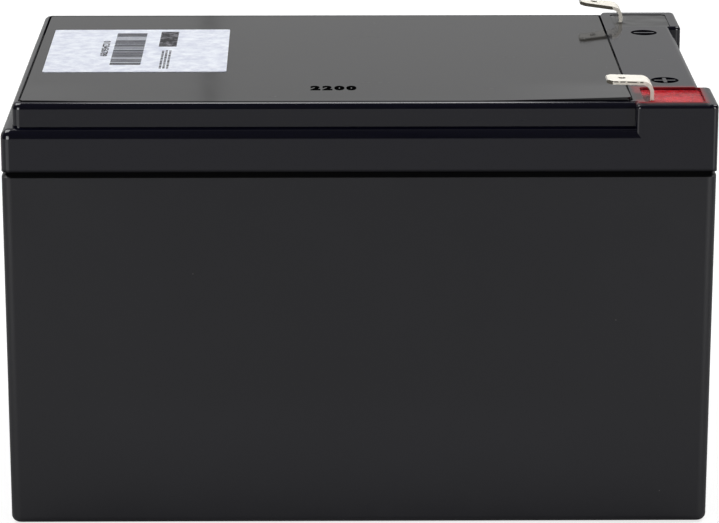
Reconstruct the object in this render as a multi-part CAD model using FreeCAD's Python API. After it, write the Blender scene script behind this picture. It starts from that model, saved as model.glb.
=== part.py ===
import FreeCAD, Part
import math
import os

# A 12 volt sealed lead-acid battery with absorbent glass mat cells, in millimetres.
# The origin is the middle of the underside of the container. X runs along the length,
# with both terminals at the +X end, Y runs across the width and Z is up.

# Whole battery
case_length = 151.0
case_width = 98.0
seam_height = 78.4
flange_height = 9.2
raised_height = 5.2

# Container
wall = 3.2
floor_thickness = 3.0
partition = 1.8
wall_draft = 0.2
case_corner_radius = 2.2
foot_radius = 1.5
rim_chamfer = 1.2
tongue_height = 3.0
tongue_corner_radius = 1.2
rest_rib_height = 2.0
rest_rib_width = 1.6
rest_rib_offset = 12.0

# Cover and its glued joint
skirt = 1.0
glue_gap = 0.3
glue_depth = 0.6
inner_skirt = 1.0
inner_skirt_lift = 1.2
deck_thickness = 2.6
deck_drop = 0.6
ledge_inset = 2.35
ledge_radius = 2.0
top_edge_radius = 1.35
top_corner_radius = 2.0
tower_length = 17.4
tower_width = 17.4
tower_corner_radius = 1.2
tower_edge_radius = 0.8

# Vent plate, its seat and its slightly lifted front corners
plate_left_margin = 1.75
plate_tower_gap = 0.8
plate_side_margin = 1.95
plate_joint = 0.5
plate_thickness = 2.2
plate_corner_radius = 0.8
seat_width = 2.0
lift_depth = 16.0
lift_right = 0.75
lift_right_length = 28.0
lift_left = 0.25
lift_left_length = 20.0

# Relief valves
valve_shift = 7.0
valve_pocket_radius = 7.0
valve_pocket_drop = 3.4
valve_pocket_wall = 1.6
valve_pocket_floor = 2.0
chimney_radius = 3.6
chimney_bore_radius = 1.8
cap_wall = 1.4
cap_top = 1.1
cap_foot_gap = 0.6
cap_head_gap = 0.3
cap_fit = 0.05

# Terminal wells, posts and seals
well_margin = 2.4
well_side_margin = 3.0
well_corner_radius = 1.0
well_end_wall = 2.0
well_inner_wall = 0.4
epoxy_drop_positive = 0.75
epoxy_drop_negative = 0.25
post_radius = 4.0
post_fit = 0.2
post_shoulder = 0.4
post_tip_radius = 2.4
post_tip_length = 1.6
post_pad_radius = 5.4
post_skirt_gap = 0.5
ring_section = 1.9
ring_fit = 0.05
ring_pocket_depth = 2.0
ring_pocket_floor = 2.4
boss_radius = 7.6
core_roof = 2.6
core_margin = 2.4

# Push-on tabs of the 6.35 mm size
tab_width = 6.35
tab_thickness = 0.8
tab_foot_end = 3.4
tab_foot_fit = 0.1
tab_foot_bend = 1.2
tab_top_bend = 2.0
tab_reach = 9.6
tab_stand_off = 4.7
tab_rise_positive = 3.25
tab_rise_negative = 3.1
tab_tilt_positive = 1.5
tab_tilt_negative = 8.2
tab_tip_chamfer = 1.2
tab_tip_bevel = 0.25
tab_hole_radius = 0.8
tab_hole_from_tip = 3.4

# Polarity marks
mark_radius = 3.0
mark_depth = 0.7
mark_ring = 0.7
mark_bar = 0.8
mark_from_well = 3.9
mark_from_end = 9.2

# Label
label_length = 40.2
label_width = 44.9
label_thickness = 0.12
label_from_plate_end = 2.3
label_centre_y = 6.1
label_corner_radius = 0.6
label_turn = 0.4

# Cells
positive_thickness = 3.1
negative_thickness = 2.2
mat_least = 1.4
end_clearance = 0.4
plate_side_clearance = 1.45
mat_side_clearance = 0.25
mat_top_overlap = 1.5
head_gap = 1.0
lug_height = 2.0
lug_width = 8.0
lug_thickness = 1.6
strap_offset = 12.0
strap_width = 9.0
strap_thickness = 4.0
link_thickness = 2.6
link_height = 8.6
link_width = 9.0
weld_radius = 3.0
weld_margin = 1.0

# How far a shape that is cut away reaches past the surface it opens
overrun = 1.0

# The six cells in the order of the circuit, as column and row: along the front row
# from the positive terminal, round the far end and back along the rear row
cell_order = [(2, 0), (1, 0), (0, 0), (0, 1), (1, 1), (2, 1)]
positive_links = ["post", "right", "right", "across", "left", "left"]
negative_links = ["left", "left", "across", "right", "right", "post"]

# Sizes worked out from those above
columns = 1 + max(column for column, row in cell_order)
rows = 1 + max(row for column, row in cell_order)
ledge_height = seam_height + flange_height
top_height = ledge_height + raised_height
deck_height = ledge_height - deck_drop
half_length = case_length / 2.0
half_width = case_width / 2.0
tongue_inset = skirt + glue_gap
groove_inset = wall + glue_gap
tongue_top = seam_height + tongue_height
groove_top = tongue_top + glue_depth
inner_half_length = half_length - wall
inner_half_width = half_width - wall
cell_length = (2.0 * inner_half_length - (columns - 1) * partition) / columns
cell_width = (2.0 * inner_half_width - (rows - 1) * partition) / rows
deck_bottom = deck_height - deck_thickness
raised_half_length = half_length - ledge_inset
raised_half_width = half_width - ledge_inset
tower_x0 = half_length - tower_length
tower_y0 = half_width - tower_width
plate_x0 = -raised_half_length + plate_left_margin
plate_x1 = tower_x0 - plate_tower_gap
plate_half_width = raised_half_width - plate_side_margin
plate_bottom = top_height - plate_thickness
pocket_floor = deck_height - valve_pocket_drop
chimney_top = plate_bottom - cap_head_gap - cap_top
well_x0 = tower_x0 + well_end_wall
well_x1 = half_length - well_margin
well_y0 = tower_y0 + well_inner_wall
well_y1 = half_width - well_side_margin
post_x = (well_x0 + well_x1) / 2.0
post_y = half_width - groove_inset - inner_skirt - post_skirt_gap - post_fit - post_radius
mark_x = half_length - mark_from_end
mark_y = well_y0 - mark_from_well - mark_radius
pair_length = positive_thickness + negative_thickness + 2.0 * mat_least
positive_count = int((cell_length - 2.0 * end_clearance - negative_thickness) / pair_length)
negative_count = positive_count + 1
gap_count = positive_count + negative_count - 1
mat_thickness = (
    cell_length
    - 2.0 * end_clearance
    - positive_count * positive_thickness
    - negative_count * negative_thickness
) / gap_count
pack_pitch = positive_thickness + negative_thickness + 2.0 * mat_thickness
pack_bottom = floor_thickness + rest_rib_height
pack_top = seam_height + inner_skirt_lift - head_gap - link_height - lug_height
strap_bottom = pack_top + lug_height
strap_top = strap_bottom + strap_thickness
plate_width = cell_width - 2.0 * plate_side_clearance
shoulder_height = deck_height + post_shoulder
ring_radius = post_radius + ring_section / 2.0 + ring_fit
ring_pocket_radius = post_radius + ring_section + 2.0 * ring_fit
ring_floor = deck_height - ring_pocket_depth
lifted_top = top_height + lift_right + lift_left + overrun
weld_height = strap_bottom + link_height - weld_margin - weld_radius


def vec(x, y, z):
    return FreeCAD.Vector(x, y, z)


def box(x0, x1, y0, y1, z0, z1):
    return Part.makeBox(x1 - x0, y1 - y0, z1 - z0, vec(x0, y0, z0))


def cylinder(x, y, z0, z1, radius):
    return Part.makeCylinder(radius, z1 - z0, vec(x, y, z0))


def rounded_wire(x0, x1, y0, y1, z, radius):
    """A rectangle at height z whose corners are arcs."""
    corners = [(x1 - radius, y1 - radius, 0), (x0 + radius, y1 - radius, 90),
               (x0 + radius, y0 + radius, 180), (x1 - radius, y0 + radius, 270)]
    arcs = []
    for cx, cy, start in corners:
        ends = []
        for turn in (0, 45, 90):
            angle = math.radians(start + turn)
            ends.append(vec(cx + radius * math.cos(angle), cy + radius * math.sin(angle), z))
        arcs.append(Part.Arc(*ends).toShape())
    edges = []
    for index, arc in enumerate(arcs):
        following = arcs[(index + 1) % len(arcs)]
        edges.append(arc)
        edges.append(Part.makeLine(arc.Vertexes[-1].Point, following.Vertexes[0].Point))
    return Part.Wire(edges)


def rounded_box(x0, x1, y0, y1, z0, z1, radius):
    """A block with rounded upright edges."""
    face = Part.Face(rounded_wire(x0, x1, y0, y1, z0, radius))
    return face.extrude(vec(0, 0, z1 - z0))


def drafted_block(half_x0, half_y0, z0, half_x1, half_y1, z1):
    """A block with four flat sloping sides, given by its half sizes at two heights."""
    rings = []
    for half_x, half_y, z in ((half_x0, half_y0, z0), (half_x1, half_y1, z1)):
        rings.append([vec(half_x, half_y, z), vec(-half_x, half_y, z),
                      vec(-half_x, -half_y, z), vec(half_x, -half_y, z)])
    outlines = [rings[0][::-1], rings[1]]
    for index in range(4):
        after = (index + 1) % 4
        outlines.append([rings[0][index], rings[0][after], rings[1][after], rings[1][index]])
    shell = Part.Shell([Part.Face(Part.makePolygon(points + points[:1])) for points in outlines])
    shell.sewShape()
    return Part.Solid(shell)


def upright_edges(shape, height):
    """The edges of a shape that rise through nearly all of its height."""
    nearly_all = 0.9
    return [edge for edge in shape.Edges if edge.BoundBox.ZLength > nearly_all * height]


def edges_at(shape, z):
    """The edges of a shape that lie in the level plane at height z."""
    found = []
    tolerance = 0.001
    for edge in shape.Edges:
        level = edge.BoundBox
        if abs(level.ZMin - z) < tolerance and abs(level.ZMax - z) < tolerance:
            found.append(edge)
    return found


def union(shapes):
    result = shapes[0].multiFuse(shapes[1:])
    return result.removeSplitter()


def save(shape, name):
    solid = shape
    if len(shape.Solids) == 1:
        solid = shape.Solids[0]
    solid.exportStep("parts/" + name + ".step")
    print(name, "solids", len(shape.Solids), "valid", shape.isValid(), "volume", round(shape.Volume, 1))


def cell_box(column, row):
    """The inside faces of one cell, as x0, x1, y0, y1."""
    x0 = -inner_half_length + column * (cell_length + partition)
    y0 = -inner_half_width + row * (cell_width + partition)
    return x0, x0 + cell_length, y0, y0 + cell_width


def partition_boxes(clearance, z0, z1, reach):
    """The walls between the cells, each made thicker by a clearance on both faces."""
    walls = []
    for column in range(columns - 1):
        x1 = cell_box(column, 0)[1]
        walls.append(box(x1 - clearance, x1 + partition + clearance,
                         -inner_half_width - reach, inner_half_width + reach, z0, z1))
    for row in range(rows - 1):
        y1 = cell_box(0, row)[3]
        walls.append(box(-inner_half_length - reach, inner_half_length + reach,
                         y1 - clearance, y1 + partition + clearance, z0, z1))
    return walls


def row_side(row):
    """The sign of Y on the outer side of a row."""
    return -1.0 if row == 0 else 1.0


def strap_y(row, outer):
    """The centre line of a strap on the outer or inner side of its cell."""
    y0, y1 = cell_box(0, row)[2:]
    side = row_side(row) if outer else -row_side(row)
    return (y0 + y1) / 2.0 + side * strap_offset


def weld_places():
    """Where the links pass through the walls, as start point and direction."""
    places = []
    for index in range(len(cell_order) - 1):
        column, row = cell_order[index]
        x0, x1, y0, y1 = cell_box(column, row)
        outer = index % 2 == 1
        y = strap_y(row, outer)
        link = negative_links[index]
        if link == "left":
            places.append((vec(x0 - partition, y, weld_height), vec(1, 0, 0)))
        elif link == "right":
            places.append((vec(x1, y, weld_height), vec(1, 0, 0)))
        else:
            places.append((vec((x0 + x1) / 2.0, y1, weld_height), vec(0, 1, 0)))
    return places


def container():
    """The moulded jar with its walls between the cells, seat ribs and glue tongue."""
    body = drafted_block(half_length - wall_draft, half_width - wall_draft, 0.0,
                         half_length, half_width, seam_height)
    body = body.makeFillet(case_corner_radius, upright_edges(body, seam_height))
    body = body.makeFillet(foot_radius, edges_at(body, 0.0))
    body = body.makeChamfer(rim_chamfer, edges_at(body, seam_height))
    tongue = rounded_box(-half_length + tongue_inset, half_length - tongue_inset,
                         -half_width + tongue_inset, half_width - tongue_inset,
                         seam_height - rim_chamfer, tongue_top, tongue_corner_radius)
    jar = union([body, tongue])
    for column, row in cell_order:
        x0, x1, y0, y1 = cell_box(column, row)
        jar = jar.cut(box(x0, x1, y0, y1, floor_thickness, tongue_top + overrun))
    ribs = []
    for column, row in cell_order:
        x0, x1, y0, y1 = cell_box(column, row)
        for side in (-1.0, 1.0):
            y = (y0 + y1) / 2.0 + side * rest_rib_offset
            ribs.append(box(x0, x1, y - rest_rib_width / 2.0, y + rest_rib_width / 2.0,
                            floor_thickness, pack_bottom))
    jar = union([jar] + ribs)
    for start, direction in weld_places():
        jar = jar.cut(Part.makeCylinder(weld_radius, partition, start, direction))
    return jar


def glue_groove():
    """The channel under the cover that takes the tongue and the walls between the cells."""
    outer = rounded_box(-half_length + skirt, half_length - skirt, -half_width + skirt,
                        half_width - skirt, seam_height, groove_top,
                        tongue_corner_radius + glue_gap)
    inner = box(-half_length + groove_inset, half_length - groove_inset,
                -half_width + groove_inset, half_width - groove_inset, seam_height, groove_top)
    ring = outer.cut(inner)
    walls = partition_boxes(glue_gap, seam_height + inner_skirt_lift, groove_top, 0.0)
    return union([ring] + walls)


def tower(side):
    """One of the two blocks at the terminal end, flush with the sides of the cover."""
    y0, y1 = sorted((side * tower_y0, side * half_width))
    block = rounded_box(tower_x0, half_length, y0, y1, seam_height, top_height, tower_corner_radius)
    return block.makeFillet(tower_edge_radius, edges_at(block, top_height))


def cover_outside():
    """The outer form of the cover: flange, raised part and both towers."""
    flange = rounded_box(-half_length, half_length, -half_width, half_width,
                         seam_height, ledge_height, case_corner_radius)
    flange = flange.makeFillet(ledge_radius, edges_at(flange, ledge_height))
    raised = rounded_box(-raised_half_length, raised_half_length, -raised_half_width,
                         raised_half_width, seam_height, top_height, top_corner_radius)
    raised = raised.makeFillet(top_edge_radius, edges_at(raised, top_height))
    return union([flange, raised, tower(-1.0), tower(1.0)])


def valve_places():
    """The six valve centres, in the order of the cells."""
    places = []
    for column, row in cell_order:
        x0, x1, y0, y1 = cell_box(column, row)
        places.append(((x0 + x1) / 2.0 - valve_shift, (y0 + y1) / 2.0))
    return places


def terminal_well(side, z0, z1):
    y0, y1 = sorted((side * well_y0, side * well_y1))
    return rounded_box(well_x0, well_x1, y0, y1, z0, z1, well_corner_radius)


def polarity_mark(side):
    """The sunk disc round a raised plus or minus sign."""
    y = side * mark_y
    z0 = top_height - mark_depth
    z1 = top_height + overrun
    half_bar = mark_bar / 2.0
    reach = mark_radius - mark_ring
    disc = cylinder(mark_x, y, z0, z1, mark_radius)
    bars = box(mark_x - reach, mark_x + reach, y - half_bar, y + half_bar, z0, z1)
    if side < 0:
        bars = bars.fuse(box(mark_x - half_bar, mark_x + half_bar, y - reach, y + reach, z0, z1))
    return disc.cut(bars)


def cover():
    """The moulded cover with vent chamber, valve chimneys, terminal wells and glue groove."""
    body = cover_outside()
    lift = seam_height + inner_skirt_lift
    body = body.cut(glue_groove())
    body = body.cut(box(-half_length + groove_inset, half_length - groove_inset,
                        -half_width + groove_inset, half_width - groove_inset,
                        seam_height - overrun, lift))
    rib = glue_gap + inner_skirt
    for column, row in cell_order:
        x0, x1, y0, y1 = cell_box(column, row)
        body = body.cut(box(x0 + rib, x1 - rib, y0 + rib, y1 - rib, lift - overrun, deck_bottom))
    recess = rounded_box(plate_x0 - plate_joint, plate_x1 + plate_joint,
                         -plate_half_width - plate_joint, plate_half_width + plate_joint,
                         plate_bottom, top_height + overrun, plate_corner_radius + plate_joint)
    chamber = rounded_box(plate_x0 + seat_width, plate_x1 - seat_width,
                          -plate_half_width + seat_width, plate_half_width - seat_width,
                          deck_height, top_height, seat_width)
    body = body.cut(recess).cut(chamber)
    for x, y in valve_places():
        body = body.fuse(cylinder(x, y, pocket_floor - valve_pocket_floor, deck_height,
                                  valve_pocket_radius + valve_pocket_wall))
        body = body.cut(cylinder(x, y, pocket_floor, deck_height + overrun, valve_pocket_radius))
        body = body.fuse(cylinder(x, y, pocket_floor, chimney_top, chimney_radius))
        body = body.cut(cylinder(x, y, pocket_floor - valve_pocket_floor - overrun, top_height,
                                 chimney_bore_radius))
    for side in (-1.0, 1.0):
        y = side * post_y
        body = body.cut(terminal_well(side, deck_height, top_height + overrun))
        body = body.fuse(cylinder(post_x, y, ring_floor - ring_pocket_floor, deck_height, boss_radius)
                         .common(box(0.0, inner_half_length - rib, -inner_half_width + rib,
                                     inner_half_width - rib, 0.0, top_height)))
        body = body.cut(cylinder(post_x, y, ring_floor, deck_height + overrun, ring_pocket_radius))
        body = body.cut(cylinder(post_x, y, ring_floor - ring_pocket_floor - overrun,
                                 deck_height + overrun, post_radius + post_fit))
        core_y = sorted((side * core_margin, side * (well_y0 - core_margin)))
        body = body.cut(box(plate_x1 + plate_joint + core_margin, raised_half_length - core_margin,
                            core_y[0], core_y[1], deck_bottom - overrun, top_height - core_roof))
        body = body.cut(polarity_mark(side))
    return body.removeSplitter()


def lifted_height(x, y):
    """How far the vent plate has lifted out of its seat at a point."""
    depth = max(0.0, 1.0 - (y + plate_half_width) / lift_depth)
    right = max(0.0, 1.0 - (plate_x1 - x) / lift_right_length)
    left = max(0.0, 1.0 - (x - plate_x0) / lift_left_length)
    return depth * (lift_right * right + lift_left * left)


def spline_surface(xs, ys, base):
    """A smooth sheet over a grid of control points, each lifted by the plate's own lift."""
    degree = 3
    poles = [[vec(x, y, base + lifted_height(x, y)) for y in ys] for x in xs]
    counts = [len(xs) - degree + 1, len(ys) - degree + 1]
    knots = [[float(k) for k in range(count)] for count in counts]
    mults = [[degree + 1] + [1] * (count - 2) + [degree + 1] for count in counts]
    surface = Part.BSplineSurface()
    surface.buildFromPolesMultsKnots(poles, mults[0], mults[1], knots[0], knots[1],
                                     False, False, degree, degree)
    return surface


def bent_slab(z, thickness):
    """A slab with the plate's own lift, a little larger than the plate all round."""
    steps = 16
    span_x = plate_x1 - plate_x0 + 2.0 * overrun
    span_y = 2.0 * (plate_half_width + overrun)
    xs = [plate_x0 - overrun + span_x * k / steps for k in range(steps + 1)]
    ys = [-plate_half_width - overrun + span_y * k / steps for k in range(steps + 1)]
    return spline_surface(xs, ys, z).toShape().extrude(vec(0, 0, thickness))


def vent_plate():
    """The thin plate over the valves, lifted a little at its two front corners."""
    outline = rounded_box(plate_x0, plate_x1, -plate_half_width, plate_half_width,
                          plate_bottom - overrun, lifted_top, plate_corner_radius)
    return bent_slab(plate_bottom, plate_thickness).common(outline)


def label():
    """The paper label, which follows the vent plate's surface."""
    x0 = plate_x0 + label_from_plate_end
    outline = rounded_box(x0, x0 + label_length, label_centre_y - label_width / 2.0,
                          label_centre_y + label_width / 2.0, plate_bottom,
                          lifted_top, label_corner_radius)
    outline.rotate(vec(x0 + label_length / 2.0, label_centre_y, 0.0), vec(0, 0, 1), label_turn)
    return bent_slab(top_height, label_thickness).common(outline)


def joint_adhesive(jar):
    """The cured bead that fills the groove round the tongue and the walls."""
    return glue_groove().cut(jar)


def valve_cap(x, y):
    """A rubber cap pushed over its chimney."""
    inner = chimney_radius + cap_fit
    foot = pocket_floor + cap_foot_gap
    cap = cylinder(x, y, foot, chimney_top + cap_top, inner + cap_wall)
    return cap.cut(cylinder(x, y, foot - overrun, chimney_top, inner))


def plate_starts(x0):
    """The lower X faces of the plates of a pack: negatives first, then positives."""
    negatives = [x0 + end_clearance + k * pack_pitch for k in range(negative_count)]
    step = negative_thickness + mat_thickness
    positives = [negatives[k] + step for k in range(positive_count)]
    return negatives, positives


def plate_group(index, positive):
    """Plates of one sign with their cast strap and the link that joins the next cell."""
    column, row = cell_order[index]
    x0, x1, y0, y1 = cell_box(column, row)
    outer = (index % 2 == 0) == positive
    y = strap_y(row, outer)
    middle = (y0 + y1) / 2.0
    negatives, positives = plate_starts(x0)
    starts = positives if positive else negatives
    thickness = positive_thickness if positive else negative_thickness
    bottom = pack_bottom + (mat_thickness if positive else 0.0)
    pieces = []
    for start in starts:
        pieces.append(box(start, start + thickness, middle - plate_width / 2.0,
                          middle + plate_width / 2.0, bottom, pack_top))
        centre = start + thickness / 2.0
        pieces.append(box(centre - lug_thickness / 2.0, centre + lug_thickness / 2.0,
                          y - lug_width / 2.0, y + lug_width / 2.0, pack_top, strap_bottom))
    strap_x0 = starts[0]
    strap_x1 = starts[-1] + thickness
    link = (positive_links if positive else negative_links)[index]
    half_link = link_width / 2.0
    half_wall = partition / 2.0
    link_top = strap_bottom + link_height
    z = weld_height
    if link == "left":
        strap_x0 = x0
        pieces.append(box(x0, x0 + link_thickness, y - half_link, y + half_link,
                          strap_bottom, link_top))
        pieces.append(Part.makeCylinder(weld_radius, half_wall, vec(x0 - half_wall, y, z),
                                        vec(1, 0, 0)))
    elif link == "right":
        strap_x1 = x1
        pieces.append(box(x1 - link_thickness, x1, y - half_link, y + half_link,
                          strap_bottom, link_top))
        pieces.append(Part.makeCylinder(weld_radius, half_wall, vec(x1, y, z), vec(1, 0, 0)))
    elif link == "across":
        side = row_side(row)
        face = y1 if row == 0 else y0
        x = (x0 + x1) / 2.0
        arm = sorted((face, y))
        upright = sorted((face, face + side * link_thickness))
        nugget = sorted((face, face - side * half_wall))
        pieces.append(box(x - half_link, x + half_link, arm[0], arm[1], strap_bottom, strap_top))
        pieces.append(box(x - half_link, x + half_link, upright[0], upright[1],
                          strap_bottom, link_top))
        pieces.append(Part.makeCylinder(weld_radius, half_wall, vec(x, nugget[0], z), vec(0, 1, 0)))
    else:
        pad = cylinder(post_x, row_side(row) * post_y, strap_bottom, strap_top, post_pad_radius)
        pieces.append(pad.common(box(x0, x1, y0 + mat_side_clearance, y1 - mat_side_clearance,
                                     strap_bottom, strap_top)))
    pieces.append(box(strap_x0, strap_x1, y - strap_width / 2.0, y + strap_width / 2.0,
                      strap_bottom, strap_top))
    return union(pieces)


def separators(index):
    """Glass mat folded round the bottom of each positive plate of a cell."""
    column, row = cell_order[index]
    x0, x1, y0, y1 = cell_box(column, row)
    folds = []
    for start in plate_starts(x0)[1]:
        sheet = box(start - mat_thickness, start + positive_thickness + mat_thickness,
                    y0 + mat_side_clearance, y1 - mat_side_clearance,
                    pack_bottom, pack_top + mat_top_overlap)
        slot = box(start, start + positive_thickness, y0, y1,
                   pack_bottom + mat_thickness, pack_top + mat_top_overlap + overrun)
        folds.append(sheet.cut(slot))
    return Part.makeCompound(folds)


def terminal_post(side):
    """The lead post that rises from its strap into the terminal well."""
    y = side * post_y
    shank = cylinder(post_x, y, strap_top, shoulder_height, post_radius)
    tip = cylinder(post_x, y, shoulder_height, shoulder_height + post_tip_length, post_tip_radius)
    return union([shank, tip])


def seal_ring(side):
    """The rubber ring squeezed between post and cover."""
    centre = vec(post_x, side * post_y, ring_floor + ring_section / 2.0)
    return Part.makeTorus(ring_radius, ring_section / 2.0, centre)


def offset_path(points, distance):
    """An open path of X and Z pairs, moved sideways to its left by a distance."""
    normals = []
    for start, end in zip(points[:-1], points[1:]):
        dx = end[0] - start[0]
        dz = end[1] - start[1]
        size = math.hypot(dx, dz)
        normals.append((-dz / size, dx / size))
    moved = []
    for index, point in enumerate(points):
        before = normals[max(0, index - 1)]
        after = normals[min(len(normals) - 1, index)]
        scale = distance / (1.0 + before[0] * after[0] + before[1] * after[1])
        moved.append((point[0] + (before[0] + after[0]) * scale,
                      point[1] + (before[1] + after[1]) * scale))
    return moved


def rounded_path(points, radii, y):
    """Edges of an open path whose inner corners are arcs."""
    edges = []
    last = points[0]
    for index in range(1, len(points) - 1):
        corner = points[index]
        legs = []
        for other in (points[index - 1], points[index + 1]):
            dx = other[0] - corner[0]
            dz = other[1] - corner[1]
            size = math.hypot(dx, dz)
            legs.append((dx / size, dz / size))
        half = math.acos(legs[0][0] * legs[1][0] + legs[0][1] * legs[1][1]) / 2.0
        radius = radii[index - 1]
        along = radius / math.tan(half)
        ends = [(corner[0] + leg[0] * along, corner[1] + leg[1] * along) for leg in legs]
        bisector = (legs[0][0] + legs[1][0], legs[0][1] + legs[1][1])
        size = math.hypot(*bisector)
        reach = radius / math.sin(half) - radius
        middle = (corner[0] + bisector[0] / size * reach, corner[1] + bisector[1] / size * reach)
        edges.append(Part.makeLine(vec(last[0], y, last[1]), vec(ends[0][0], y, ends[0][1])))
        edges.append(Part.Arc(vec(ends[0][0], y, ends[0][1]), vec(middle[0], y, middle[1]),
                              vec(ends[1][0], y, ends[1][1])).toShape())
        last = ends[1]
    edges.append(Part.makeLine(vec(last[0], y, last[1]), vec(points[-1][0], y, points[-1][1])))
    return edges


def terminal_tab(side):
    """A push-on tab: foot on the post, upright strip, bend and flat blade towards -X."""
    rise = tab_rise_positive if side < 0 else tab_rise_negative
    tilt = math.radians(tab_tilt_positive if side < 0 else tab_tilt_negative)
    half = tab_thickness / 2.0
    foot_z = shoulder_height + half
    upright_x = post_x - tab_stand_off
    blade_z = top_height + rise
    ahead = (-math.cos(tilt), math.sin(tilt))
    normal = (math.sin(tilt), math.cos(tilt))
    tip_x = upright_x + tab_reach * ahead[0]
    tip_z = blade_z + tab_reach * ahead[1]
    bevel_start = (tip_x - tab_tip_bevel * ahead[0], tip_z - tab_tip_bevel * ahead[1])
    centre = [(post_x + tab_foot_end, foot_z), (upright_x, foot_z), (upright_x, blade_z),
              bevel_start]
    y0 = side * post_y - tab_width / 2.0
    left = rounded_path(offset_path(centre, half), [tab_foot_bend + half, tab_top_bend - half], y0)
    right = rounded_path(offset_path(centre, -half), [tab_foot_bend - half, tab_top_bend + half], y0)
    nose = [left[-1].Vertexes[-1].Point]
    for sign in (-1.0, 1.0):
        reach = sign * (half - tab_tip_bevel)
        nose.append(vec(tip_x + reach * normal[0], y0, tip_z + reach * normal[1]))
    nose.append(right[-1].Vertexes[-1].Point)
    ends = [Part.makeLine(left[0].Vertexes[0].Point, right[0].Vertexes[0].Point)]
    ends = ends + [Part.makeLine(a, b) for a, b in zip(nose[:-1], nose[1:])]
    outline = Part.Wire(Part.__sortEdges__(left + right + ends))
    strip = Part.Face(outline).extrude(vec(0, tab_width, 0))
    for edge_y, inward in ((y0, 1.0), (y0 + tab_width, -1.0)):
        ahead_x = tip_x - overrun
        aside_y = edge_y - inward * overrun
        chamfer_y = edge_y + inward * tab_tip_chamfer
        corner = Part.makePolygon([vec(ahead_x, aside_y, 0.0),
                                   vec(tip_x + tab_tip_chamfer, aside_y, 0.0),
                                   vec(tip_x + tab_tip_chamfer, edge_y, 0.0),
                                   vec(tip_x, chamfer_y, 0.0),
                                   vec(ahead_x, chamfer_y, 0.0),
                                   vec(ahead_x, aside_y, 0.0)])
        strip = strip.cut(Part.Face(corner).extrude(vec(0, 0, tip_z + tab_thickness)))
    hole_start = vec(tip_x - tab_hole_from_tip * ahead[0] - tab_thickness * normal[0], side * post_y,
                     tip_z - tab_hole_from_tip * ahead[1] - tab_thickness * normal[1])
    strip = strip.cut(Part.makeCylinder(tab_hole_radius, 2.0 * tab_thickness, hole_start,
                                        vec(normal[0], 0, normal[1])))
    strip = strip.cut(cylinder(post_x, side * post_y, shoulder_height - overrun,
                               shoulder_height + tab_thickness + overrun,
                               post_tip_radius + tab_foot_fit))
    return strip


def terminal_epoxy(side):
    """The potting resin that fills a well round its post and tab."""
    drop = epoxy_drop_positive if side < 0 else epoxy_drop_negative
    fill = terminal_well(side, deck_height, top_height - drop)
    fill = fill.fuse(cylinder(post_x, side * post_y, ring_floor + ring_section, deck_height,
                              ring_pocket_radius))
    fill = fill.cut(terminal_post(side))
    return fill.cut(terminal_tab(side)).removeSplitter()


def main():
    os.makedirs("parts", exist_ok=True)
    jar = container()
    save(jar, "container")
    save(cover(), "cover")
    save(joint_adhesive(jar), "joint_adhesive")
    save(vent_plate(), "vent_plate")
    save(label(), "label")
    for number, (x, y) in enumerate(valve_places(), 1):
        save(valve_cap(x, y), "valve_cap_%d" % number)
    for index in range(len(cell_order)):
        number = index + 1
        save(plate_group(index, True), "positive_plates_%d" % number)
        save(plate_group(index, False), "negative_plates_%d" % number)
        save(separators(index), "glass_mat_separators_%d" % number)
    for side, name in ((-1.0, "positive"), (1.0, "negative")):
        save(terminal_post(side), name + "_post")
        save(seal_ring(side), name + "_seal_ring")
        save(terminal_tab(side), name + "_tab")
        save(terminal_epoxy(side), name + "_terminal_epoxy")


main()
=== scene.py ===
# %% [markdown]
# # A sealed lead-acid battery, dressed for its picture
#
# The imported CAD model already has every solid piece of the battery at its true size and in
# its place: a moulded jar, its cover, a vent plate, a paper label, two push-on tabs in their
# potted wells, and the plates, mats, posts and rubber caps inside. This script gives those
# pieces their finishes, adds what is too thin or too soft in outline for CAD (printing,
# poured resin), and sets up the floor, the light and the camera.

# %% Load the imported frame
import math
import random

import bpy
from mathutils import Matrix, Vector, noise
from mathutils.bvhtree import BVHTree

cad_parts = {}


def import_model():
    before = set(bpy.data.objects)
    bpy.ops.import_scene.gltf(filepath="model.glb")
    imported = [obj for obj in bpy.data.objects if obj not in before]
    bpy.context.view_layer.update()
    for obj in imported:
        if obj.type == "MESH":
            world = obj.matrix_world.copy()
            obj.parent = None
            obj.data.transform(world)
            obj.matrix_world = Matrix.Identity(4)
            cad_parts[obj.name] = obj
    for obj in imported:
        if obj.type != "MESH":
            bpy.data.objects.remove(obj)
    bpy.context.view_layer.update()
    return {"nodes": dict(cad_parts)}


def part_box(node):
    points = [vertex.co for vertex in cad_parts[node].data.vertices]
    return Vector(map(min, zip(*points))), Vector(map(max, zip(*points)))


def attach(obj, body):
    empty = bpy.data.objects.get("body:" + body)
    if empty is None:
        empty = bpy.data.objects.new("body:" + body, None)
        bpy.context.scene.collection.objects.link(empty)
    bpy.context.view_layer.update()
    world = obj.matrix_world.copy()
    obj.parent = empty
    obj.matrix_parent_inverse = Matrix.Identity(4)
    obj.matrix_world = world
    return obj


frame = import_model()
nodes = frame["nodes"]

# %% [markdown]
# ## Small helpers
#
# Three helpers serve the whole lesson. Lengths are easiest to read in millimetres, while
# Blender works in metres. Colours are easiest to pick as sRGB hex codes, while shaders
# expect linear light. And a node graph reads best when one call makes a node, sets it and
# plugs it in.

# %% Units, colours and nodes
MM = 0.001


def linear(code):
    """An sRGB hex colour as linear red, green, blue and alpha."""
    channels = [int(code[i:i + 2], 16) / 255 for i in (1, 3, 5)]
    return tuple(c / 12.92 if c <= 0.04045 else ((c + 0.055) / 1.055) ** 2.4
                 for c in channels) + (1.0,)


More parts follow.
